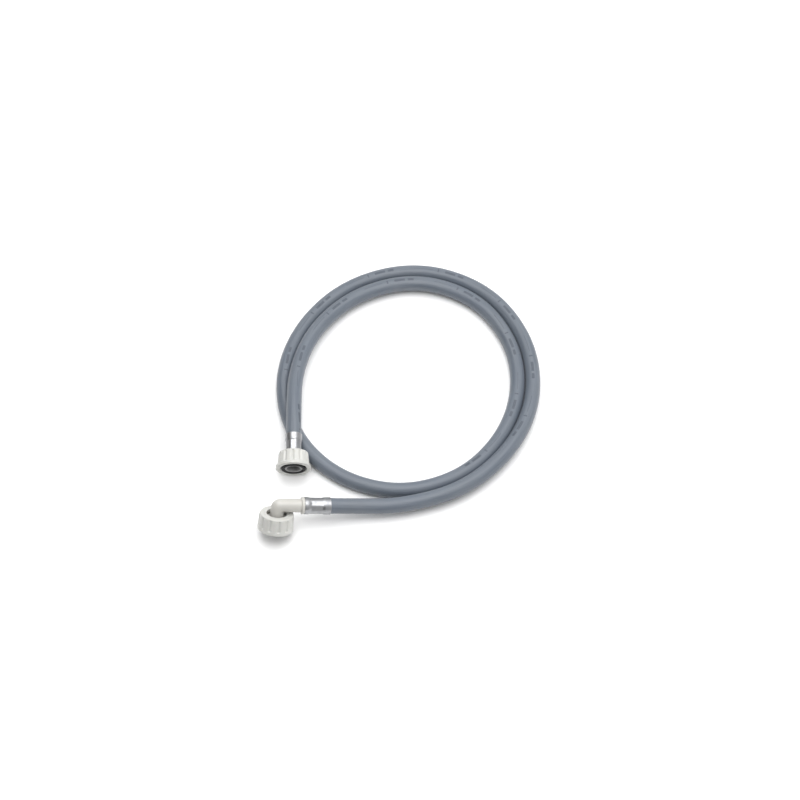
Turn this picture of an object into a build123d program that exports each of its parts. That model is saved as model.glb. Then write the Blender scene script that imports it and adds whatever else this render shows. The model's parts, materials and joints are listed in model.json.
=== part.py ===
"""Washing-machine inlet hose: a braid-reinforced PVC hose laid in two loose turns.

One end is straight, the other has a 90 degree elbow.  Each end has a moulded tail,
a crimped steel ferrule, a rubber washer and a G3/4 union nut that slides and spins.
Millimetres, +Z up.  The origin is at the middle of the whole object's footprint,
on the surface that it lies on.
"""

import math
import os

from build123d import *

# --- hose: 10 x 15 mm, three layers with a hair of air between them ---
HOSE_R = 7.5
COVER_INNER_R = 6.25
BRAID_OUTER_R = 6.15
BRAID_INNER_R = 5.85
LINER_OUTER_R = 5.75
LINER_INNER_R = 5.0

# --- union nut, 3/4 inch parallel pipe thread, with a relief behind the thread ---
THREAD_MINOR_R = 12.06
THREAD_START = 10.8
RELIEF_R = 12.66
MOUTH_CHAMFER = 1.16
NUT_LENGTH = 16.5
NUT_COLLAR = 3.0
NUT_HOLE_R = 9.8
NUT_RIM_R = 17.25
NUT_RIM_LENGTH = 2.8
NUT_RIM_SLOPE = 1.0
NUT_ROUND = 1.6
STRAIGHT_NUT_BACK_R = 14.7
STRAIGHT_NUT_SIDE_R = 15.7
ELBOW_NUT_BACK_R = 16.6
ELBOW_NUT_SIDE_R = 17.0
GROOVE_COUNT = 12
GROOVE_R = 1.5
GROOVE_DEPTH = 0.9

# --- tail: nose, flange, neck, stop collar and barbed spigot ---
NOSE_R = 8.6
NOSE_LENGTH = 2.0
FLANGE_R = 11.8
FLANGE_LENGTH = 3.0
NECK_R = 6.5
COLLAR_R = 8.2
COLLAR_LENGTH = 2.6
TAIL_BORE_R = 5.25
SPIGOT_R = 4.85
SPIGOT_BORE_R = 3.7
SPIGOT_LENGTH = 25.0
BARB_R = 5.2
BARB_COUNT = 4
BARB_PITCH = 5.0
BARB_START = 5.0
BARB_LENGTH = 2.4

# --- crimped ferrule ---
FERRULE_SETBACK = 8.5
FERRULE_LENGTH = 25.5
FERRULE_WALL = 0.6
FERRULE_LIP = 0.8
FERRULE_LIP_HOLE_R = 5.5
FERRULE_FRONT_R = 8.35
FERRULE_WAIST_R = 7.8
FERRULE_FLARE_R = 8.35
FERRULE_FRONT_END = 3.4
FERRULE_WAIST_START = 6.0
FERRULE_WAIST_END = 17.5
FERRULE_FLARE_START = 19.5
CRIMP_COUNT = 8
CRIMP_R = 7.62

# --- washer, on the tail's nose ---
WASHER_INNER_R = 8.95
WASHER_OUTER_R = 11.7
WASHER_LENGTH = 2.5
FACE_GAP = 0.02

# --- where things sit along each end's axis ---
HOSE_SETBACK = 10.5
STRAIGHT_NUT_BACK = -14.5
ELBOW_NUT_BACK = -8.1
ELBOW_LEG = 27.3
ELBOW_DROP = 16.3
ELBOW_BEND_R = 6.6
ELBOW_ROLL = 57.0

# --- the hose's centreline, from the straight end to the elbow end ---
ARC_SHARE = 0.45
ROUTE = [
    (-105.6, -74.3, 18.95),
    (-106.4, -32.4, 25.2),
    (-107.1, 27.6, 16.6),
    (-88.2, 81.8, 13.4),
    (-45.4, 125.6, 11.2),
    (17.0, 143.1, 10.8),
    (78.1, 119.1, 9.3),
    (112.6, 65.6, 7.6),
    (117.5, 6.1, 7.5),
    (98.0, -48.7, 7.5),
    (56.2, -92.3, 7.5),
    (-5.1, -109.4, 7.5),
    (-67.7, -89.1, 7.5),
    (-110.8, -38.5, 7.5),
    (-121.9, 27.0, 7.5),
    (-101.1, 90.6, 7.5),
    (-52.6, 140.9, 7.5),
    (18.4, 159.9, 7.5),
    (87.3, 132.4, 7.5),
    (126.9, 72.4, 7.5),
    (133.3, 4.7, 7.5),
    (110.5, -57.5, 12.0),
    (62.4, -105.6, 12.4),
    (1.7, -124.8, 12.2),
    (-46.8, -126.3, 14.5),
    (-92.0, -131.2, 24.4),
]


def arc_radii(route):
    """The radius of the arc at each corner: as large as its two runs allow."""
    points = [Vector(*p) for p in route]
    radii = []
    for before, corner, after in zip(points, points[1:], points[2:]):
        arriving = corner - before
        leaving = after - corner
        half_turn = math.radians(arriving.get_angle(leaving) / 2)
        shorter = min(arriving.length, leaving.length)
        radii.append(ARC_SHARE * shorter / math.tan(half_turn))
    return radii


def end_plane(near, towards, distance):
    """A plane across the end run, distance mm beyond its last point, facing outwards."""
    outward = (Vector(*near) - Vector(*towards)).normalized()
    sideways = Vector(0, 0, 1).cross(outward).normalized()
    return Plane(origin=Vector(*near) + outward * distance, x_dir=sideways, z_dir=outward)


def profile_plane(end):
    """The half section of a turned shape: x is the radius, y runs along the end's axis."""
    return Plane(origin=end.origin, x_dir=end.x_dir, z_dir=-end.y_dir)


def end_axis(end):
    return Axis(end.origin, end.z_dir)


def build_tube(centreline, outer_r, inner_r):
    """One layer of the hose, swept along its whole length."""
    path = centreline.wires()[0]
    section = Plane(origin=path @ 0, z_dir=path % 0)
    with BuildPart() as tube:
        with BuildSketch(section):
            Circle(outer_r)
            Circle(inner_r, mode=Mode.SUBTRACT)
        sweep(path=path)
    return tube


def build_nut(face, back, back_r, side_r):
    """Union nut: collar with a clearance hole, relief, plain bore for the thread, grooves."""
    mouth = back + NUT_LENGTH
    rim_start = mouth - NUT_RIM_LENGTH
    with BuildPart() as nut:
        with BuildSketch(profile_plane(face)):
            with BuildLine():
                Polyline(
                    (NUT_HOLE_R, back),
                    (back_r - NUT_ROUND, back),
                    (back_r, back + NUT_ROUND),
                    (side_r, rim_start - NUT_RIM_SLOPE),
                    (NUT_RIM_R, rim_start),
                    (NUT_RIM_R, mouth),
                    (THREAD_MINOR_R + MOUTH_CHAMFER, mouth),
                    (THREAD_MINOR_R, mouth - MOUTH_CHAMFER),
                    (THREAD_MINOR_R, back + THREAD_START),
                    (RELIEF_R, back + THREAD_START),
                    (RELIEF_R, back + NUT_COLLAR),
                    (NUT_HOLE_R, back + NUT_COLLAR),
                    close=True,
                )
            make_face()
        revolve(axis=end_axis(face))
        groove_centre_r = side_r + GROOVE_R - GROOVE_DEPTH
        with BuildSketch(face.offset(back)):
            with PolarLocations(groove_centre_r, GROOVE_COUNT):
                Circle(GROOVE_R)
        extrude(amount=NUT_LENGTH - NUT_RIM_LENGTH, mode=Mode.SUBTRACT)
    return nut


def build_washer(face):
    """Rubber sealing washer, loose on the tail's nose."""
    with BuildPart() as washer:
        with BuildSketch(face.offset(FACE_GAP)):
            Circle(WASHER_OUTER_R)
            Circle(WASHER_INNER_R, mode=Mode.SUBTRACT)
        extrude(amount=WASHER_LENGTH)
    return washer


def build_ferrule(front):
    """Crimped steel sleeve: lip, front ring, waist with pressed flats, open flare."""
    with BuildPart() as ferrule:
        with BuildSketch(profile_plane(front)):
            with BuildLine():
                Polyline(
                    (FERRULE_LIP_HOLE_R, 0),
                    (FERRULE_FRONT_R, 0),
                    (FERRULE_FRONT_R, -FERRULE_FRONT_END),
                    (FERRULE_WAIST_R, -FERRULE_WAIST_START),
                    (FERRULE_WAIST_R, -FERRULE_WAIST_END),
                    (FERRULE_FLARE_R, -FERRULE_FLARE_START),
                    (FERRULE_FLARE_R, -FERRULE_LENGTH),
                    (FERRULE_FLARE_R - FERRULE_WALL, -FERRULE_LENGTH),
                    (FERRULE_FLARE_R - FERRULE_WALL, -FERRULE_FLARE_START),
                    (FERRULE_WAIST_R - FERRULE_WALL, -FERRULE_WAIST_END),
                    (FERRULE_WAIST_R - FERRULE_WALL, -FERRULE_WAIST_START),
                    (FERRULE_FRONT_R - FERRULE_WALL, -FERRULE_FRONT_END),
                    (FERRULE_FRONT_R - FERRULE_WALL, -FERRULE_LIP),
                    (FERRULE_LIP_HOLE_R, -FERRULE_LIP),
                    close=True,
                )
            make_face()
        revolve(axis=end_axis(front))
        with BuildSketch(front.offset(-FERRULE_WAIST_START)):
            Circle(FERRULE_FRONT_R)
            RegularPolygon(CRIMP_R, CRIMP_COUNT, major_radius=False, mode=Mode.SUBTRACT)
        extrude(amount=FERRULE_WAIST_START - FERRULE_WAIST_END, mode=Mode.SUBTRACT)
    return ferrule


def build_spigot(front):
    """Stop collar and barbed spigot, which the hose is pushed over."""
    with BuildPart() as spigot:
        with BuildSketch(front):
            Circle(COLLAR_R)
        extrude(amount=COLLAR_LENGTH)
        with BuildSketch(front):
            Circle(SPIGOT_R)
        extrude(amount=-SPIGOT_LENGTH)
        for barb in range(BARB_COUNT):
            tip = -(BARB_START + barb * BARB_PITCH)
            with BuildSketch(profile_plane(front)):
                with BuildLine():
                    Polyline(
                        (SPIGOT_BORE_R, tip),
                        (BARB_R, tip),
                        (SPIGOT_R, tip - BARB_LENGTH),
                        (SPIGOT_BORE_R, tip - BARB_LENGTH),
                        close=True,
                    )
                make_face()
            revolve(axis=end_axis(front))
    return spigot


def build_flange(face):
    """Flange that the nut pulls on, with the nose that centres the washer."""
    with BuildPart() as flange:
        with BuildSketch(face):
            Circle(FLANGE_R)
        extrude(amount=-FLANGE_LENGTH)
        with BuildSketch(face):
            Circle(NOSE_R)
        extrude(amount=NOSE_LENGTH)
    return flange


def build_straight_tail(face, front):
    """Straight moulded tail: nose and flange, neck, stop collar, barbed spigot, bore."""
    flange = build_flange(face)
    spigot = build_spigot(front)
    with BuildPart() as tail:
        add(flange.part)
        add(spigot.part)
        with BuildSketch(face):
            Circle(NECK_R)
        extrude(amount=-FERRULE_SETBACK)
        with BuildSketch(front.offset(-SPIGOT_LENGTH)):
            Circle(SPIGOT_BORE_R)
        extrude(amount=SPIGOT_LENGTH + COLLAR_LENGTH, mode=Mode.SUBTRACT)
        with BuildSketch(face.offset(NOSE_LENGTH)):
            Circle(TAIL_BORE_R)
        extrude(amount=COLLAR_LENGTH - FERRULE_SETBACK - NOSE_LENGTH, mode=Mode.SUBTRACT)
    return tail


def build_elbow_tail(face, front, corner):
    """Elbow tail: the neck turns 90 degrees between the ferrule and the flange."""
    flange = build_flange(face)
    spigot = build_spigot(front)
    with BuildLine() as bend:
        FilletPolyline(front.origin, corner, face.origin, radius=ELBOW_BEND_R)
    bend_wire = bend.wires()[0]
    bend_start = Plane(origin=bend_wire @ 0, z_dir=bend_wire % 0)
    with BuildPart() as tail:
        with BuildSketch(bend_start):
            Circle(NECK_R)
        sweep(path=bend_wire)
        add(flange.part)
        add(spigot.part)
        with BuildSketch(front.offset(-SPIGOT_LENGTH)):
            Circle(SPIGOT_BORE_R)
        extrude(amount=SPIGOT_LENGTH, mode=Mode.SUBTRACT)
        with BuildSketch(bend_start):
            Circle(SPIGOT_BORE_R)
        sweep(path=bend_wire, mode=Mode.SUBTRACT)
        with BuildSketch(face.offset(NOSE_LENGTH)):
            Circle(TAIL_BORE_R)
        extrude(amount=ELBOW_BEND_R - ELBOW_DROP - NOSE_LENGTH, mode=Mode.SUBTRACT)
    return tail


def save(piece, node):
    """Labels a finished piece and writes it to its own file."""
    piece.part.label = node
    export_step(piece.part, f"parts/{node}.step")


os.makedirs("parts", exist_ok=True)

# --- hose ---
radii = arc_radii(ROUTE)
with BuildLine() as centreline:
    FilletPolyline(*ROUTE, radius=radii)
hose_length = centreline.wires()[0].length
print("route radii, mm:", [round(r) for r in radii])
print("hose length, mm:", round(hose_length, 1))

layers = {
    "hose_cover": (HOSE_R, COVER_INNER_R),
    "hose_braid": (BRAID_OUTER_R, BRAID_INNER_R),
    "hose_liner": (LINER_OUTER_R, LINER_INNER_R),
}
for node, (outer_r, inner_r) in layers.items():
    layer = build_tube(centreline, outer_r, inner_r)
    swept = math.pi * (outer_r**2 - inner_r**2) * hose_length
    print(node, "volume over section times length:", round(layer.part.volume / swept, 4))
    save(layer, node)

# --- straight end ---
straight_face = end_plane(ROUTE[0], ROUTE[1], HOSE_SETBACK)
straight_front = straight_face.offset(-FERRULE_SETBACK)
save(build_straight_tail(straight_face, straight_front), "straight_tail")
save(build_ferrule(straight_front), "straight_ferrule")
save(build_washer(straight_face), "straight_washer")
straight_nut = build_nut(straight_face, STRAIGHT_NUT_BACK, STRAIGHT_NUT_BACK_R, STRAIGHT_NUT_SIDE_R)
save(straight_nut, "straight_nut")

# --- elbow end: the drop leg leaves the corner at right angles, rolled below level ---
elbow_front = end_plane(ROUTE[-1], ROUTE[-2], HOSE_SETBACK - FERRULE_SETBACK)
leg = elbow_front.z_dir
elbow_corner = Vector(*ROUTE[-1]) + leg * ELBOW_LEG
roll = math.radians(ELBOW_ROLL)
drop = elbow_front.x_dir * math.cos(roll) - leg.cross(elbow_front.x_dir) * math.sin(roll)
elbow_face = Plane(origin=elbow_corner + drop * ELBOW_DROP, x_dir=leg, z_dir=drop)
save(build_elbow_tail(elbow_face, elbow_front, elbow_corner), "elbow_tail")
save(build_ferrule(elbow_front), "elbow_ferrule")
save(build_washer(elbow_face), "elbow_washer")
save(build_nut(elbow_face, ELBOW_NUT_BACK, ELBOW_NUT_BACK_R, ELBOW_NUT_SIDE_R), "elbow_nut")

# --- the places that the joints and mounts are stated at ---
for name, plane in {"straight": straight_face, "elbow": elbow_face}.items():
    print(name, "face at", plane.origin, "facing", plane.z_dir)
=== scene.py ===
"""Looks of a braid-reinforced inlet hose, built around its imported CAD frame.  Metres.

The hose lies in two loose turns.  One end has a straight tail and the other an elbow,
each with a crimped ferrule, a rubber washer and a union nut that slides and spins.
"""

import json
import math

import bmesh
import bpy
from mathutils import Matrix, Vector


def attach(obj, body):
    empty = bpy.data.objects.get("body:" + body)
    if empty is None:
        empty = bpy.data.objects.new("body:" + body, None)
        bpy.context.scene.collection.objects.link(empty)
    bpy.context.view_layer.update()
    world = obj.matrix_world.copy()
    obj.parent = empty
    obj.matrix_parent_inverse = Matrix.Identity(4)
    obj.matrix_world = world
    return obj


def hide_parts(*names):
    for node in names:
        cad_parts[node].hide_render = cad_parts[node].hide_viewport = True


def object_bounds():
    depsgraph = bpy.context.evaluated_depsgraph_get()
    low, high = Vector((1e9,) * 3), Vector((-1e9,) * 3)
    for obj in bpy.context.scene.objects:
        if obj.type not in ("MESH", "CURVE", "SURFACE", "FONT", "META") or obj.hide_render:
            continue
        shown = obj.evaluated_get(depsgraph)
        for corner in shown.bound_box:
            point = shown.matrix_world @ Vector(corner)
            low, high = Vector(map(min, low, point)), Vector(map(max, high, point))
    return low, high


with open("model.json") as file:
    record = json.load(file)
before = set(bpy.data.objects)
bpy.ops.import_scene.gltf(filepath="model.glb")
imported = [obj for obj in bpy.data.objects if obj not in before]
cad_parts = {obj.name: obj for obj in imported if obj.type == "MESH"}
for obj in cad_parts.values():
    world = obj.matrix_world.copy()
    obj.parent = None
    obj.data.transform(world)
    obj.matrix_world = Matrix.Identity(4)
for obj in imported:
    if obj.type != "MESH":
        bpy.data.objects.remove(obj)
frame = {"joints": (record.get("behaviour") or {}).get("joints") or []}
cad_low, cad_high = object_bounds()

MM = 0.001
TURN = 2 * math.pi
MAP_NAME = "along_round"
NEARLY = 0.01 * MM

# --- hose ---
HOSE_R = 7.5 * MM
HOSE_WALL_R = 6.25 * MM
BRAID_R = (6.15 * MM, 5.85 * MM)
LINER_R = (5.75 * MM, 5.0 * MM)
CRIMPED_R = 7.05 * MM
CRIMPED_LENGTH = 16 * MM
BULGE_LENGTH = 9 * MM
BULGE = 0.12 * MM
BULGE_OVERLAP = 2 * MM
BULGE_SHARPNESS = 4
PINCH_EASE = 4 * MM
TUBE_SIDES = 48
LINE_STEPS = 20
ROUTE = [
    (-0.1056, -0.0743, 0.01895),
    (-0.1064, -0.0324, 0.0252),
    (-0.1071, 0.0276, 0.0166),
    (-0.0882, 0.0818, 0.0134),
    (-0.0454, 0.1256, 0.0112),
    (0.0170, 0.1431, 0.0108),
    (0.0781, 0.1191, 0.0093),
    (0.1126, 0.0656, 0.0076),
    (0.1175, 0.0061, 0.0075),
    (0.0980, -0.0487, 0.0075),
    (0.0562, -0.0923, 0.0075),
    (-0.0051, -0.1094, 0.0075),
    (-0.0677, -0.0891, 0.0075),
    (-0.1108, -0.0385, 0.0075),
    (-0.1219, 0.0270, 0.0075),
    (-0.1011, 0.0906, 0.0075),
    (-0.0526, 0.1409, 0.0075),
    (0.0184, 0.1599, 0.0075),
    (0.0873, 0.1324, 0.0075),
    (0.1269, 0.0724, 0.0075),
    (0.1333, 0.0047, 0.0075),
    (0.1105, -0.0575, 0.0120),
    (0.0624, -0.1056, 0.0124),
    (0.0017, -0.1248, 0.0122),
    (-0.0468, -0.1263, 0.0145),
    (-0.0920, -0.1312, 0.0244),
]

# --- turned pieces: along is measured from a tail's sealing face, outwards ---
SIDES = 192
MAX_STEP = 0.3 * MM
ROUND_STEPS = 4
LARGEST_CUT = 0.45

NUT_LENGTH = 16.5 * MM
NUT_COLLAR = 3.0 * MM
NUT_HOLE_R = 9.8 * MM
NUT_RIM_R = 17.25 * MM
NUT_RIM = 2.8 * MM
NUT_BACK = {"straight": -14.5 * MM, "elbow": -8.1 * MM}
NUT_BACK_R = {"straight": 14.7 * MM, "elbow": 16.6 * MM}
NUT_SIDE_R = {"straight": 15.7 * MM, "elbow": 17.0 * MM}
GROOVES = 12
GROOVE_DEPTH = 1.3 * MM
GROOVE_SHARPNESS = 5
GROOVE_FADE = 1.6 * MM
GROOVE_FROM_BACK = 0.6 * MM
GROOVE_FROM_RIM = 0.2 * MM

THREAD_CREST_R = 12.06 * MM
THREAD_DEPTH = 1.16 * MM
THREAD_PITCH = 1.814 * MM
THREAD_START = 10.8 * MM
RELIEF_R = 12.66 * MM
MOUTH_R = 13.3 * MM

NOSE_R = 8.6 * MM
NOSE = 2.0 * MM
FLANGE_R = 11.8 * MM
FLANGE = 3.0 * MM
NECK_R = 6.5 * MM
COLLAR_R = 8.2 * MM
COLLAR = 2.6 * MM
TAIL_BORE_R = 5.25 * MM
TAIL_MOUTH_R = 6.9 * MM
TAIL_MOUTH_DEPTH = 4.8 * MM
BORE_STEP = (-3.8 * MM, -4.9 * MM)
SPIGOT_R = 4.85 * MM
SPIGOT_BORE_R = 3.7 * MM
SPIGOT = 25.0 * MM
BARB_R = 4.98 * MM
BARBS = 4
BARB_PITCH = 5.0 * MM
BARB_START = 5.0 * MM
BARB_LENGTH = 2.4 * MM
SETBACK = 8.5 * MM
ELBOW_LEG = 25.3 * MM
ELBOW_DROP = 16.3 * MM
ELBOW_BEND_R = 6.6 * MM
ELBOW_CORNER = 1.6 * MM
SEAM_HEIGHT = 0.1 * MM
SEAM_HALF_WIDTH = 0.25 * MM

FERRULE = 25.5 * MM
FERRULE_WALL = 0.6 * MM
FERRULE_LIP = 0.8 * MM
FERRULE_LIP_R = 5.5 * MM
FERRULE_FRONT_R = 8.35 * MM
FERRULE_WAIST_R = 7.8 * MM
FERRULE_FLARE_R = 8.35 * MM
FERRULE_FRONT_END = 3.4 * MM
FERRULE_WAIST = (6.0 * MM, 17.5 * MM)
FERRULE_FLARE_START = 19.5 * MM
CRIMPS = 8
CRIMP_R = 7.56 * MM

WASHER_R = (8.95 * MM, 11.7 * MM)
WASHER = 2.5 * MM
WASHER_GROOVE_HALF = 0.3 * MM
WASHER_GROOVE_DEPTH = 0.2 * MM
FACE_GAP = 0.02 * MM


# ---------------------------------------------------------------- materials

class Nodes:
    """A material's node tree, with short calls to add and join nodes."""

    def __init__(self, name):
        self.material = bpy.data.materials.new(name)
        self.material.use_nodes = True
        self.tree = self.material.node_tree
        self.tree.nodes.clear()
        self.shader = self.add("ShaderNodeBsdfPrincipled")
        output = self.add("ShaderNodeOutputMaterial")
        self.join(self.shader.outputs["BSDF"], output.inputs["Surface"])

    def add(self, kind, **settings):
        node = self.tree.nodes.new(kind)
        for setting, value in settings.items():
            setattr(node, setting, value)
        return node

    def join(self, source, target):
        """Feeds target, an input socket, from an output socket or a plain value."""
        if isinstance(source, bpy.types.NodeSocket):
            self.tree.links.new(source, target)
        else:
            target.default_value = source

    def math(self, operation, first, second=0.0, clamp=False):
        node = self.add("ShaderNodeMath", operation=operation, use_clamp=clamp)
        for socket, value in zip(node.inputs, (first, second)):
            self.join(value, socket)
        return node.outputs["Value"]

    def vector(self, x, y, z):
        node = self.add("ShaderNodeCombineXYZ")
        for socket, value in zip(node.inputs, (x, y, z)):
            self.join(value, socket)
        return node.outputs["Vector"]

    def noise(self, where, scale, detail=3.0, roughness=0.5):
        node = self.add("ShaderNodeTexNoise")
        self.join(where, node.inputs["Vector"])
        node.inputs["Scale"].default_value = scale
        node.inputs["Detail"].default_value = detail
        node.inputs["Roughness"].default_value = roughness
        return node.outputs["Fac"]

    def mix(self, amount, first, second):
        node = self.add("ShaderNodeMix", data_type="RGBA")
        self.join(amount, node.inputs["Factor"])
        self.join(first, node.inputs["A"])
        self.join(second, node.inputs["B"])
        return next(s for s in node.outputs if s.type == "RGBA")

    def range(self, value, low, high, to_low=0.0, to_high=1.0):
        node = self.add("ShaderNodeMapRange")
        for socket, given in zip(node.inputs, (value, low, high, to_low, to_high)):
            self.join(given, socket)
        return node.outputs["Result"]

    def bump(self, height, distance, strength=1.0, normal=None):
        node = self.add("ShaderNodeBump")
        node.inputs["Strength"].default_value = strength
        node.inputs["Distance"].default_value = distance
        self.join(height, node.inputs["Height"])
        if normal is not None:
            self.join(normal, node.inputs["Normal"])
        return node.outputs["Normal"]

    def place(self):
        """The point's place in the piece's own space, in metres."""
        return self.add("ShaderNodeTexCoord").outputs["Object"]

    def along_and_round(self):
        """A swept or turned piece's own map: metres along, and the share of a turn."""
        uv = self.add("ShaderNodeUVMap", uv_map=MAP_NAME)
        parts = self.add("ShaderNodeSeparateXYZ")
        self.join(uv.outputs["UV"], parts.inputs["Vector"])
        return parts.outputs["X"], parts.outputs["Y"]

    def set(self, **values):
        """Feeds the shader's inputs, named with an underscore for each space."""
        for socket, value in values.items():
            self.join(value, self.shader.inputs[socket.replace("_", " ")])


BRAID_CARRIERS = 12
BRAID_LAY = 21 * MM

PRINT_PERIOD = 74 * MM
PRINT_HALF_HEIGHT = 2.1 * MM
PRINT_SOFT_EDGE = 0.5 * MM
# the marks turn out of sight, by a share of a turn, once in each loop of the hose
PRINT_HIDDEN_AT = 0.70
PRINT_TWIST = 0.24
LOOP_LENGTH = 0.74
# start and end as shares of the period, and height as a share of the tallest mark
PRINT_MARKS = [
    (0.03, 0.30, 0.22),
    (0.36, 0.38, 1.0),
    (0.47, 0.62, 0.75),
    (0.66, 0.74, 0.75),
]

# linear colours, most of them in pairs that noise mixes
HOSE_GREYS = ((0.094, 0.112, 0.137, 1), (0.138, 0.157, 0.182, 1))
HOSE_CLOUD = (0.104, 0.127, 0.165, 1)
PRINT_GREY = (0.046, 0.058, 0.078, 1)
NUT_WHITES = ((0.53, 0.53, 0.505, 1), (0.49, 0.49, 0.465, 1))
TAIL_WHITES = ((0.50, 0.49, 0.46, 1), (0.46, 0.45, 0.42, 1))
# the straight tail: a grey darker than the elbow's tail, painted shade for inside the nut's mouth, and
# near black as painted shade down its bore
SHADED_INSERT_GREYS = ((0.30, 0.30, 0.30, 1), (0.22, 0.22, 0.22, 1))
PAINTED_BORE_SHADE = (0.04, 0.04, 0.04, 1)
STEEL_GREYS = ((0.34, 0.345, 0.355, 1), (0.27, 0.275, 0.29, 1))
RUBBER_BLACKS = ((0.010, 0.010, 0.011, 1), (0.035, 0.035, 0.036, 1))
# white yarn, and a grey that is painted shade where the yarns dip
YARN_WHITE_AND_GAP_SHADE = ((0.40, 0.41, 0.42, 1), (0.82, 0.82, 0.80, 1))
LINING_GREYS = ((0.26, 0.27, 0.27, 1), (0.34, 0.35, 0.35, 1))
FLOOR_WHITES = ((0.94, 0.94, 0.94, 1), (0.96, 0.96, 0.96, 1))


def braid_relief(n, along, turn):
    """Two crossing sets of yarns, high where either set runs."""
    lean = n.math("MULTIPLY", along, TURN / BRAID_LAY)
    carriers = n.math("MULTIPLY", n.math("MULTIPLY", turn, TURN), BRAID_CARRIERS)
    one_way = n.math("SINE", n.math("ADD", carriers, lean))
    other_way = n.math("SINE", n.math("SUBTRACT", carriers, lean))
    return n.math("MAXIMUM", one_way, other_way)


def print_marks(n, along, turn):
    """1 on the printed ticks and blocks, 0 beside them, with a soft edge."""
    ramp = n.add("ShaderNodeValToRGB")
    ramp.color_ramp.interpolation = "CONSTANT"
    stops = ramp.color_ramp.elements
    stops[0].color = (0, 0, 0, 1)
    stops.remove(stops[1])
    for start, end, height in PRINT_MARKS:
        stops.new(start).color = (height, height, height, 1)
        stops.new(end).color = (0, 0, 0, 1)
    n.join(n.math("FRACT", n.math("DIVIDE", along, PRINT_PERIOD)), ramp.inputs["Fac"])
    loop_share = n.math("DIVIDE", n.math("SUBTRACT", along, PRINT_HIDDEN_AT), LOOP_LENGTH)
    hiding = n.math("MAXIMUM", n.math("COSINE", n.math("MULTIPLY", loop_share, TURN)), 0.0)
    drift = n.math("MULTIPLY", n.math("POWER", hiding, 2.0), PRINT_TWIST)
    off_top = n.math("ABSOLUTE", n.math("SUBTRACT", n.math("ADD", turn, drift), 0.5))
    off_top = n.math("MULTIPLY", off_top, TURN * HOSE_R)
    reach = n.math("MULTIPLY", ramp.outputs["Color"], PRINT_HALF_HEIGHT)
    return n.math("DIVIDE", n.math("SUBTRACT", reach, off_top), PRINT_SOFT_EDGE, clamp=True)


def hose_material():
    """Satin grey soft PVC: faint braid relief, streaks along it and printed ticks."""
    n = Nodes("hose_pvc")
    along, turn = n.along_and_round()
    angle = n.math("MULTIPLY", turn, TURN)
    around = n.vector(
        n.math("MULTIPLY", along, 4.0),
        n.math("MULTIPLY", n.math("COSINE", angle), 0.5),
        n.math("MULTIPLY", n.math("SINE", angle), 0.5),
    )
    streaks = n.noise(around, 6.0, detail=4.0, roughness=0.6)
    clouds = n.noise(n.place(), 28.0, detail=3.0)

    worn = n.range(n.noise(around, 60.0, detail=2.0), 0.35, 0.6, 0.5, 0.95)
    printed = n.math("MULTIPLY", print_marks(n, along, turn), worn)

    grey = n.mix(n.range(streaks, 0.3, 0.7), *HOSE_GREYS)
    grey = n.mix(n.range(clouds, 0.35, 0.65, 0.0, 0.35), grey, HOSE_CLOUD)
    colour = n.mix(printed, grey, PRINT_GREY)

    grain = n.noise(n.place(), 1500.0, detail=2.0)
    normal = n.bump(braid_relief(n, along, turn), 0.012 * MM)
    normal = n.bump(grain, 0.02 * MM, normal=normal)
    n.set(
        Base_Color=colour,
        Roughness=n.range(streaks, 0.3, 0.7, 0.36, 0.48),
        Normal=normal,
        Specular_IOR_Level=0.5,
        Sheen_Weight=0.05,
    )
    return n.material


def plastic_material(name, colours, roughness, gloss):
    """Moulded plastic: faint flow marks, fine grain, a little light passing through."""
    n = Nodes(name)
    place = n.place()
    flow = n.noise(place, 90.0, detail=4.0, roughness=0.6)
    grain = n.noise(place, 2600.0, detail=2.0)
    n.set(
        Base_Color=n.mix(n.range(flow, 0.3, 0.7), *colours),
        Roughness=n.range(flow, 0.3, 0.7, roughness - 0.05, roughness + 0.05),
        Normal=n.bump(grain, 0.012 * MM),
        Coat_Weight=gloss,
        Coat_Roughness=0.25,
        Subsurface_Weight=0.15,
        Subsurface_Scale=0.002,
        Subsurface_Radius=(1.0, 0.9, 0.75),
    )
    return n.material


def insert_material():
    """The straight tail's moulding: grey with random scuffs. The grey is darker than the elbow's tail
    as painted shade for the nut's mouth, and painted shade darkens it to near black down its bore.
    """
    n = Nodes("insert_plastic_painted_shade")
    along = n.along_and_round()[0]
    scuffs = n.noise(n.place(), 300.0, detail=4.0, roughness=0.6)
    grain = n.noise(n.place(), 2600.0, detail=2.0)
    grey = n.mix(n.range(scuffs, 0.3, 0.7), *SHADED_INSERT_GREYS)
    n.set(
        # painted shade: the colour goes to near black deeper down the bore
        Base_Color=n.mix(n.range(along, -FLANGE, NOSE, 1.0, 0.0), grey, PAINTED_BORE_SHADE),
        Roughness=n.range(scuffs, 0.3, 0.7, 0.38, 0.5),
        Normal=n.bump(grain, 0.012 * MM),
    )
    return n.material


def steel_material():
    """Bright plated steel: drawing lines round it and a little waviness from crimping."""
    n = Nodes("ferrule_steel")
    along = n.along_and_round()[0]
    lines = n.noise(n.vector(along, 0.0, 0.0), 9000.0, detail=2.0)
    smudges = n.noise(n.place(), 220.0, detail=4.0, roughness=0.6)
    wave = n.noise(n.place(), 160.0, detail=1.0)
    normal = n.bump(wave, 0.05 * MM)
    normal = n.bump(lines, 0.003 * MM, normal=normal)
    n.set(
        Base_Color=n.mix(n.range(smudges, 0.4, 0.7), *STEEL_GREYS),
        Metallic=1.0,
        Roughness=n.range(smudges, 0.35, 0.7, 0.28, 0.42),
        Normal=normal,
    )
    return n.material


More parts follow.
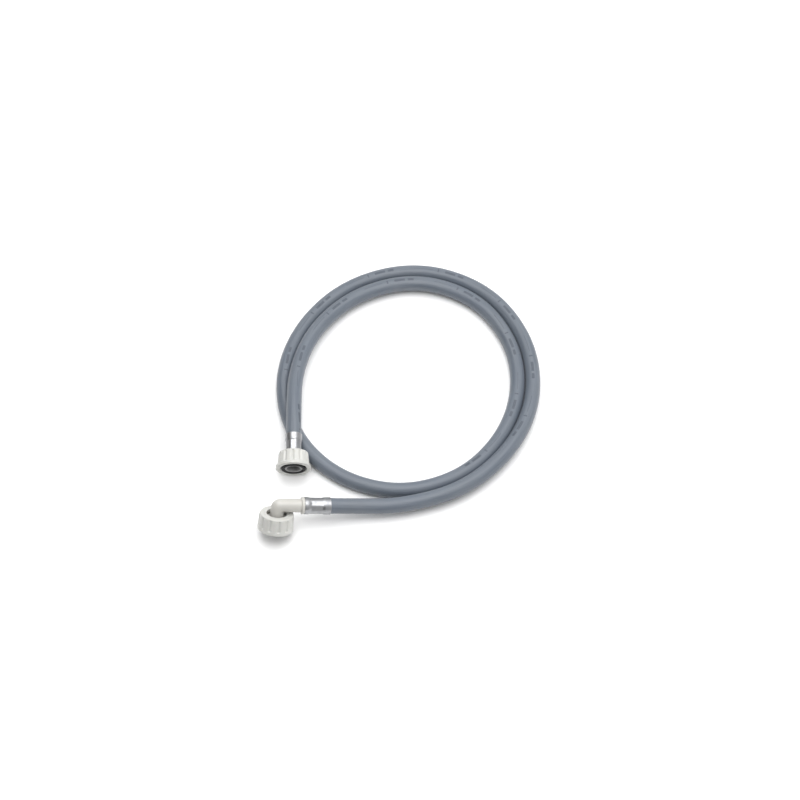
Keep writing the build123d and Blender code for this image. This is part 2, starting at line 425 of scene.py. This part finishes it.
def rubber_material():
    """Black moulded rubber: dusty bloom and fine pits."""
    n = Nodes("washer_rubber")
    bloom = n.noise(n.place(), 400.0, detail=4.0)
    pits = n.noise(n.place(), 3500.0, detail=2.0)
    n.set(
        Base_Color=n.mix(n.range(bloom, 0.4, 0.75), *RUBBER_BLACKS),
        Roughness=n.range(bloom, 0.3, 0.7, 0.55, 0.75),
        Normal=n.bump(pits, 0.03 * MM),
        Specular_IOR_Level=0.25,
    )
    return n.material


def braid_material():
    """White polyester yarn braid: two sets of yarns that pass over and under, with painted shade
    greying the yarn where it dips between them.
    """
    n = Nodes("hose_braid")
    along, turn = n.along_and_round()
    over = braid_relief(n, along, turn)
    n.set(
        # painted shade: the yarn goes grey where the relief is low
        Base_Color=n.mix(n.range(over, 0.0, 1.0), *YARN_WHITE_AND_GAP_SHADE),
        Roughness=0.8,
        Normal=n.bump(over, 0.1 * MM),
        Sheen_Weight=0.3,
    )
    return n.material


def lining_material():
    """Smooth grey PVC lining with faint lines along it."""
    n = Nodes("hose_lining")
    turn = n.along_and_round()[1]
    lines = n.noise(n.vector(0.0, turn, 0.0), 60.0)
    n.set(
        Base_Color=n.mix(lines, *LINING_GREYS),
        Roughness=0.35,
        Normal=n.bump(lines, 0.02 * MM),
    )
    return n.material


# ---------------------------------------------------------------- shapes

def new_piece(name, points, faces, maps, material):
    """A smooth mesh object with its own map and material; maps has one pair per face corner."""
    mesh = bpy.data.meshes.new(name)
    mesh.from_pydata(points, [], faces)
    uv = mesh.uv_layers.new(name=MAP_NAME)
    for loop, pair in zip(uv.data, maps):
        loop.uv = pair
    mesh.shade_smooth()
    mesh.materials.append(material)
    piece = bpy.data.objects.new(name, mesh)
    bpy.context.scene.collection.objects.link(piece)
    turn_outward(mesh)
    return piece


def turn_outward(mesh):
    """Makes every face look outward."""
    edit = bmesh.new()
    edit.from_mesh(mesh)
    bmesh.ops.recalc_face_normals(edit, faces=edit.faces)
    edit.to_mesh(mesh)
    edit.free()


def rounded(corners):
    """A closed outline with each corner (along, radius, rounding) replaced by a small curve."""
    outline = []
    count = len(corners)
    for index, (along, radius, rounding) in enumerate(corners):
        corner = Vector((along, radius))
        before = Vector(corners[index - 1][:2])
        after = Vector(corners[(index + 1) % count][:2])
        to_before = before - corner
        to_after = after - corner
        cut = min(rounding, LARGEST_CUT * to_before.length, LARGEST_CUT * to_after.length)
        start = corner + to_before.normalized() * cut
        end = corner + to_after.normalized() * cut
        for step in range(ROUND_STEPS + 1):
            share = step / ROUND_STEPS
            outline.append(start * (1 - share) ** 2 + corner * 2 * share * (1 - share) + end * share**2)
    return outline


def refined(outline, max_step):
    """The closed outline with its long edges divided."""
    fine = []
    for index, point in enumerate(outline):
        following = outline[(index + 1) % len(outline)]
        pieces = max(1, math.ceil((following - point).length / max_step))
        fine.extend(point.lerp(following, step / pieces) for step in range(pieces))
    return fine


def skin(rows, along_at, sides):
    """Faces and map of a closed skin: rows is the order of its rings, along_at their places."""
    faces = []
    maps = []
    for position, row in enumerate(rows):
        below = rows[(position + 1) % len(rows)]
        near = along_at[row]
        far = along_at[below]
        for step in range(sides):
            beside = (step + 1) % sides
            faces.append(
                (row * sides + step, row * sides + beside, below * sides + beside, below * sides + step)
            )
            left = step / sides
            right = (step + 1) / sides
            maps.extend([(near, left), (near, right), (far, right), (far, left)])
    return faces, maps


def turned(name, corners, frame_at, material, shape=None):
    """A solid turned about a straight or bent axis.

    frame_at(along) gives the axis point and two directions across it.  shape(along,
    radius, angle) may change the radius, for grooves, threads and crimps.
    """
    outline = refined(rounded(corners), MAX_STEP)
    points = []
    for along, radius in outline:
        origin, side, up = frame_at(along)
        for step in range(SIDES):
            angle = TURN * step / SIDES
            r = radius if shape is None else shape(along, radius, angle)
            points.append(origin + side * (r * math.cos(angle)) + up * (r * math.sin(angle)))
    faces, maps = skin(range(len(outline)), [along for along, radius in outline], SIDES)
    return new_piece(name, points, faces, maps, material)


def fade(value, low, high):
    """0 at low, 1 at high, smooth between them."""
    share = min(1.0, max(0.0, (value - low) / (high - low)))
    return share * share * (3 - 2 * share)


# ---------------------------------------------------------------- hose

def smooth_line(points):
    """The points that a smooth NURBS curve through this route follows."""
    curve = bpy.data.curves.new("route", "CURVE")
    curve.dimensions = "3D"
    curve.resolution_u = LINE_STEPS
    spline = curve.splines.new("NURBS")
    spline.points.add(len(points) - 1)
    for slot, point in zip(spline.points, points):
        slot.co = (*point, 1)
    spline.order_u = 3
    spline.use_endpoint_u = True
    holder = bpy.data.objects.new("route", curve)
    line_mesh = bpy.data.meshes.new_from_object(holder)
    line = [v.co.copy() for v in line_mesh.vertices]
    bpy.data.objects.remove(holder)
    bpy.data.meshes.remove(line_mesh)
    bpy.data.curves.remove(curve)
    return line


def distances(line):
    """How far along the line each of its points is."""
    found = [0.0]
    for before, after in zip(line, line[1:]):
        found.append(found[-1] + (after - before).length)
    return found


def cover_radius(along, total):
    """The cover is pinched inside each ferrule and bulges a little just behind it."""
    from_end = min(along, total - along)
    pinch = fade(from_end, CRIMPED_LENGTH, CRIMPED_LENGTH + PINCH_EASE)
    past_rear = (from_end - FERRULE + BULGE_OVERLAP) / BULGE_LENGTH
    bulge = BULGE * math.exp(-past_rear * past_rear * BULGE_SHARPNESS)
    return CRIMPED_R + (HOSE_R - CRIMPED_R) * pinch + bulge * pinch


def even(radius):
    """The same radius all along a tube."""
    return lambda along, total: radius


def tube(name, line, outer_at, inner_r, material):
    """A hollow tube along the line.  Half a turn round its map is the top of the tube."""
    spots = distances(line)
    total = spots[-1]
    rings = []
    for index, (point, along) in enumerate(zip(line, spots)):
        ahead = line[min(index + 1, len(line) - 1)] - line[max(index - 1, 0)]
        side = ahead.cross(Vector((0, 0, 1))).normalized()
        up = side.cross(ahead).normalized()
        rings.append((point, side, up, along, outer_at(along, total)))
    points = []
    for inner in (False, True):
        for point, side, up, along, outer_r in rings:
            r = inner_r if inner else outer_r
            for step in range(TUBE_SIDES):
                angle = TURN * step / TUBE_SIDES
                points.append(point - up * (r * math.cos(angle)) + side * (r * math.sin(angle)))
    count = len(rings)
    out_and_back = list(range(count)) + list(range(2 * count - 1, count - 1, -1))
    faces, maps = skin(out_and_back, spots + spots, TUBE_SIDES)
    return new_piece(name, points, faces, maps, material)


# ---------------------------------------------------------------- end fittings

def nut_corners(end):
    """Rounded back, tapered side and stepped rim outside; collar, relief and thread inside."""
    back = NUT_BACK[end]
    back_r = NUT_BACK_R[end]
    side_r = NUT_SIDE_R[end]
    mouth = back + NUT_LENGTH
    rim = mouth - NUT_RIM
    shoulder = back + NUT_COLLAR
    thread_start = back + THREAD_START
    return [
        (back, NUT_HOLE_R, 0.4 * MM),
        (back, back_r - 0.5 * MM, 2.2 * MM),
        (back + 2.6 * MM, back_r + 0.1 * MM, 2.0 * MM),
        (rim - 0.9 * MM, side_r, 0.4 * MM),
        (rim, NUT_RIM_R, 0.35 * MM),
        (mouth, NUT_RIM_R, 0.5 * MM),
        (mouth, MOUTH_R, 0.3 * MM),
        (mouth - (MOUTH_R - THREAD_CREST_R), THREAD_CREST_R, 0.1 * MM),
        (thread_start, THREAD_CREST_R, 0.1 * MM),
        (thread_start, RELIEF_R, 0.1 * MM),
        (shoulder, RELIEF_R, 0.4 * MM),
        (shoulder, NUT_HOLE_R, 0.4 * MM),
    ]


def nut_shape(end):
    """Grooves between the grip ribs outside, and the right-hand pipe thread inside."""
    back = NUT_BACK[end]
    mouth = back + NUT_LENGTH
    rim = mouth - NUT_RIM
    thread_start = back + THREAD_START

    def shape(along, radius, angle):
        if radius > MOUTH_R + 0.2 * MM:
            start = back + GROOVE_FROM_BACK
            reach = fade(along, start, start + GROOVE_FADE)
            reach *= 1 - fade(along, rim - GROOVE_FADE, rim - GROOVE_FROM_RIM)
            groove = ((1 + math.cos(GROOVES * angle)) / 2) ** GROOVE_SHARPNESS
            return radius - GROOVE_DEPTH * reach * groove
        if along < thread_start - NEARLY:
            return radius
        reach = fade(along, thread_start - THREAD_PITCH / 4, thread_start + THREAD_PITCH / 4)
        phase = along / THREAD_PITCH - angle / TURN
        tooth = THREAD_CREST_R + THREAD_DEPTH * reach * (1 - math.cos(TURN * phase)) / 2
        return max(radius, tooth)

    return shape


def washer_corners():
    """A flat ring with a fine groove round its front face."""
    low = FACE_GAP
    high = FACE_GAP + WASHER
    inner, outer = WASHER_R
    middle = (inner + outer) / 2
    return [
        (low, inner, 0.25 * MM),
        (high, inner, 0.35 * MM),
        (high, middle - WASHER_GROOVE_HALF, 0.1 * MM),
        (high - WASHER_GROOVE_DEPTH, middle, 0.1 * MM),
        (high, middle + WASHER_GROOVE_HALF, 0.1 * MM),
        (high, outer, 0.35 * MM),
        (low, outer, 0.25 * MM),
    ]


def tail_corners(neck):
    """Nose, flange, neck, stop collar and barbs outside; a stepped bore inside."""
    front = -neck
    corners = [
        (NOSE, TAIL_MOUTH_R, 0.4 * MM),
        (NOSE, NOSE_R, 0.5 * MM),
        (0.0, NOSE_R, 0.2 * MM),
        (0.0, FLANGE_R, 0.3 * MM),
        (-FLANGE, FLANGE_R, 0.3 * MM),
        (-FLANGE, NECK_R, 0.3 * MM),
        (front + COLLAR, NECK_R, 0.3 * MM),
        (front + COLLAR, COLLAR_R, 0.35 * MM),
        (front, COLLAR_R, 0.2 * MM),
        (front, SPIGOT_R, 0.1 * MM),
    ]
    for barb in range(BARBS):
        tip = front - BARB_START - barb * BARB_PITCH
        corners.append((tip, SPIGOT_R, 0.05 * MM))
        corners.append((tip, BARB_R, 0.05 * MM))
        corners.append((tip - BARB_LENGTH, SPIGOT_R, 0.1 * MM))
    return corners + [
        (front - SPIGOT, SPIGOT_R, 0.2 * MM),
        (front - SPIGOT, SPIGOT_BORE_R, 0.2 * MM),
        (BORE_STEP[1], SPIGOT_BORE_R, 0.2 * MM),
        (BORE_STEP[0], TAIL_BORE_R, 0.2 * MM),
        (NOSE - TAIL_MOUTH_DEPTH, TAIL_BORE_R, 0.4 * MM),
    ]


def ferrule_corners():
    """Front band, crimped waist and flared rear, with a lip turned in at the front."""
    waist_start, waist_end = FERRULE_WAIST
    wall = FERRULE_WALL
    return [
        (0.0, FERRULE_LIP_R, 0.2 * MM),
        (0.0, FERRULE_FRONT_R, 0.5 * MM),
        (-FERRULE_FRONT_END, FERRULE_FRONT_R, 0.7 * MM),
        (-waist_start, FERRULE_WAIST_R, 1.2 * MM),
        (-waist_end, FERRULE_WAIST_R, 1.0 * MM),
        (-FERRULE_FLARE_START, FERRULE_FLARE_R, 0.8 * MM),
        (-FERRULE, FERRULE_FLARE_R, 0.28 * MM),
        (-FERRULE, FERRULE_FLARE_R - wall, 0.28 * MM),
        (-FERRULE_FLARE_START, FERRULE_FLARE_R - wall, 0.5 * MM),
        (-waist_end, FERRULE_WAIST_R - wall, 0.5 * MM),
        (-waist_start, FERRULE_WAIST_R - wall, 0.5 * MM),
        (-FERRULE_FRONT_END, FERRULE_FRONT_R - wall, 0.5 * MM),
        (-FERRULE_LIP, FERRULE_FRONT_R - wall, 0.3 * MM),
        (-FERRULE_LIP, FERRULE_LIP_R, 0.2 * MM),
    ]


def ferrule_shape(along, radius, angle):
    """Flats that the crimping jaws press round the waist."""
    waist_start, waist_end = FERRULE_WAIST
    sector = TURN / CRIMPS
    depth = -along
    reach = fade(depth, waist_start - 1.2 * MM, waist_start + 1.0 * MM)
    reach *= 1 - fade(depth, waist_end - 0.8 * MM, waist_end + 1.0 * MM)
    off_centre = (angle + sector / 2) % sector - sector / 2
    flat = CRIMP_R / math.cos(off_centre)
    if radius < FERRULE_WAIST_R - FERRULE_WALL / 2:
        flat -= FERRULE_WALL
    return radius + (min(radius, flat) - radius) * reach


def seam_shape(along, radius, angle):
    """The mould's parting line, a fine ridge on both sides of the neck."""
    on_neck = abs(radius - NECK_R) < NEARLY
    off_seam = abs(math.sin(angle)) * NECK_R
    ridge = max(0.0, 1 - off_seam / SEAM_HALF_WIDTH)
    return radius + (SEAM_HEIGHT * ridge if on_neck else 0.0)


def elbow_shape(along, radius, angle):
    """The parting line, and the fuller outer corner of the elbow."""
    around_bend = (-along - ELBOW_DROP + ELBOW_BEND_R) / ELBOW_BEND_R
    if radius < NECK_R - NEARLY or not 0 < around_bend < math.pi / 2:
        return seam_shape(along, radius, angle)
    corner = ELBOW_CORNER * math.sin(2 * around_bend) ** 2 * max(0.0, math.cos(angle)) ** 2
    return seam_shape(along, radius, angle) + corner


def straight_axis(origin, outward, side):
    """Frames along a straight axis."""
    up = outward.cross(side)
    return lambda along: (origin + outward * along, side, up)


def bent_axis(face, outward, leg):
    """Frames along the elbow: the drop leg, the quarter bend, then back along the leg."""
    drop_length = ELBOW_DROP - ELBOW_BEND_R
    bend_length = ELBOW_BEND_R * math.pi / 2
    across = outward.cross(leg)
    bend_start = face - outward * drop_length
    centre = bend_start - leg * ELBOW_BEND_R
    bend_end = centre - outward * ELBOW_BEND_R

    def frame_at(along):
        back = -along - drop_length
        if back <= 0:
            return face + outward * along, leg, across
        if back <= bend_length:
            angle = back / ELBOW_BEND_R
            arm = leg * math.cos(angle) - outward * math.sin(angle)
            return centre + arm * ELBOW_BEND_R, arm, across
        return bend_end - leg * (back - bend_length), -outward, across

    return frame_at


TAIL_SHAPE = {"straight": seam_shape, "elbow": elbow_shape}


def joint_named(name):
    """The frame's joint of this name, with its place and axis."""
    return next(j for j in frame["joints"] if j["name"] == name)


def build_end(end, material, tail_frames, ferrule_frames, neck):
    """The four pieces of one end of the hose, each riding on its own body."""
    nut = turned(f"{end}_nut_moulded", nut_corners(end), tail_frames, material["nut"], nut_shape(end))
    washer = turned(f"{end}_washer_rubber", washer_corners(), tail_frames, material["rubber"])
    tail = turned(
        f"{end}_tail_moulded", tail_corners(neck), tail_frames, material[f"{end}_tail"], TAIL_SHAPE[end]
    )
    ferrule = turned(
        f"{end}_ferrule_crimped", ferrule_corners(), ferrule_frames, material["steel"], ferrule_shape
    )
    for piece, node, body, slot in (
        (nut, f"{end}_nut", f"{end}_nut", "nut_plastic"),
        (washer, f"{end}_washer", f"{end}_washer", "washer_rubber"),
        (tail, f"{end}_tail", "hose", "tail_plastic"),
        (ferrule, f"{end}_ferrule", "hose", "ferrule_steel"),
    ):
        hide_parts(node)
        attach(piece, body)
    return [nut, washer, tail, ferrule]


# ---------------------------------------------------------------- camera

CAMERA_DISTANCE = 2.0
CAMERA_ELEVATION = math.radians(58)
CAMERA_LENS = 90.0
AIM_OFFSET = Vector((-0.0022, 0.0029, 0.0))

camera_data = bpy.data.cameras.new("camera")
camera_data.lens = CAMERA_LENS
camera = bpy.data.objects.new("camera", camera_data)
bpy.context.scene.collection.objects.link(camera)
footprint = Vector(((cad_low[0] + cad_high[0]) / 2, (cad_low[1] + cad_high[1]) / 2, cad_low[2]))
back_to_camera = Vector((0, -math.cos(CAMERA_ELEVATION), math.sin(CAMERA_ELEVATION)))
camera.location = footprint + AIM_OFFSET + back_to_camera * CAMERA_DISTANCE
camera.rotation_mode = "QUATERNION"
camera.rotation_quaternion = (-back_to_camera).to_track_quat("-Z", "Y")
bpy.context.scene.camera = camera

# ---------------------------------------------------------------- pieces

line = smooth_line(ROUTE)
hose = tube("hose_cover_pvc", line, cover_radius, HOSE_WALL_R, hose_material())
braid = tube("hose_braid_yarn", line, even(BRAID_R[0]), BRAID_R[1], braid_material())
liner = tube("hose_liner_pvc", line, even(LINER_R[0]), LINER_R[1], lining_material())
for layer, node, slot in (
    (hose, "hose_cover", "hose_pvc"),
    (braid, "hose_braid", "hose_braid"),
    (liner, "hose_liner", "hose_lining"),
):
    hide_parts(node)
    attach(layer, "hose")

materials = {
    "nut": plastic_material("nut_plastic", NUT_WHITES, roughness=0.36, gloss=0.15),
    # the straight tail's grey is painted shade for the inside of the nut's mouth
    "straight_tail": insert_material(),
    "elbow_tail": plastic_material("tail_plastic", TAIL_WHITES, roughness=0.34, gloss=0.2),
    "steel": steel_material(),
    "rubber": rubber_material(),
}

straight_joint = joint_named("straight_spin")
straight_out = Vector(straight_joint["axis"]).normalized()
straight_face = Vector(straight_joint["pos_m"])
straight_side = Vector((0, 0, 1)).cross(straight_out).normalized()
straight_frames = straight_axis(straight_face, straight_out, straight_side)
straight_front_frames = straight_axis(
    straight_face - straight_out * SETBACK, straight_out, straight_side
)
build_end("straight", materials, straight_frames, straight_front_frames, SETBACK)

elbow_joint = joint_named("elbow_spin")
elbow_out = Vector(elbow_joint["axis"]).normalized()
elbow_face = Vector(elbow_joint["pos_m"])
elbow_leg = (Vector(ROUTE[-1]) - Vector(ROUTE[-2])).normalized()
elbow_frames = bent_axis(elbow_face, elbow_out, elbow_leg)
elbow_neck = (ELBOW_DROP - ELBOW_BEND_R) + ELBOW_BEND_R * math.pi / 2 + (ELBOW_LEG - ELBOW_BEND_R)
elbow_front = elbow_face - elbow_out * ELBOW_DROP - elbow_leg * ELBOW_LEG
elbow_front_frames = straight_axis(elbow_front, elbow_leg, elbow_leg.cross(elbow_out))
elbow_pieces = build_end("elbow", materials, elbow_frames, elbow_front_frames, elbow_neck)

# ---------------------------------------------------------------- stage and light

FLOOR_SIZE = 8.0

floor_nodes = Nodes("studio_floor")
floor_grain = floor_nodes.noise(floor_nodes.place(), 40.0)
floor_nodes.set(
    Base_Color=floor_nodes.mix(floor_grain, *FLOOR_WHITES),
    Roughness=0.7,
)
floor_mesh = bpy.data.meshes.new("floor")
half = FLOOR_SIZE / 2
floor_z = cad_low[2]
floor_mesh.from_pydata(
    [(-half, -half, floor_z), (half, -half, floor_z), (half, half, floor_z), (-half, half, floor_z)],
    [],
    [(0, 1, 2, 3)],
)
floor_mesh.materials.append(floor_nodes.material)
floor = bpy.data.objects.new("floor", floor_mesh)
bpy.context.scene.collection.objects.link(floor)


def area_light(name, place, size, power):
    """A square soft box that looks at the middle of the footprint."""
    data = bpy.data.lights.new(name, "AREA")
    data.shape = "SQUARE"
    data.size = size
    data.energy = power
    light = bpy.data.objects.new(name, data)
    light.location = place
    light.rotation_mode = "QUATERNION"
    light.rotation_quaternion = (footprint - Vector(place)).to_track_quat("-Z", "Y")
    bpy.context.scene.collection.objects.link(light)


area_light("overhead", place=(0.1, 0.5, 2.0), size=3.0, power=34.0)
area_light("centre", place=(0.0, -0.02, 0.9), size=0.7, power=3.6)

# a white room, dimmer low down on one side, which the bright metal reflects
WORLD_STRENGTH = 0.9
WORLD_DARK = 0.28
DARK_TOWARDS = Vector((-2.1, -1.3, 0.0))
DARK_BELOW = 0.79
DARK_EDGES = (0.1, 0.2)

world = bpy.data.worlds.new("studio")
bpy.context.scene.world = world
world.use_nodes = True
sky = world.node_tree


def world_node(kind, operation, *inputs):
    """A math or vector math node in the world's tree, fed from sockets or plain values."""
    node = sky.nodes.new(kind)
    node.operation = operation
    for socket, value in zip(node.inputs, inputs):
        if isinstance(value, bpy.types.NodeSocket):
            sky.links.new(value, socket)
        else:
            socket.default_value = value
    return node.outputs["Value"]


direction = sky.nodes.new("ShaderNodeTexCoord").outputs["Generated"]
towards = world_node("ShaderNodeVectorMath", "DOT_PRODUCT", direction, DARK_TOWARDS)
height = world_node("ShaderNodeVectorMath", "DOT_PRODUCT", direction, (0.0, 0.0, 1.0))
facing = world_node("ShaderNodeMath", "SMOOTH_MAX", towards, 0.0, DARK_EDGES[0])
facing = world_node("ShaderNodeMath", "SMOOTH_MIN", facing, 1.0, DARK_EDGES[1])
low = world_node("ShaderNodeMath", "LESS_THAN", height, DARK_BELOW)
dark = world_node("ShaderNodeMath", "MULTIPLY", facing, low)
share = world_node("ShaderNodeMath", "MULTIPLY_ADD", dark, WORLD_DARK - 1.0, 1.0)
strength = world_node("ShaderNodeMath", "MULTIPLY", share, WORLD_STRENGTH)
background = sky.nodes["Background"]
background.inputs["Color"].default_value = (1.0, 1.0, 1.0, 1.0)
sky.links.new(strength, background.inputs["Strength"])
bpy.context.scene.view_settings.view_transform = "Standard"
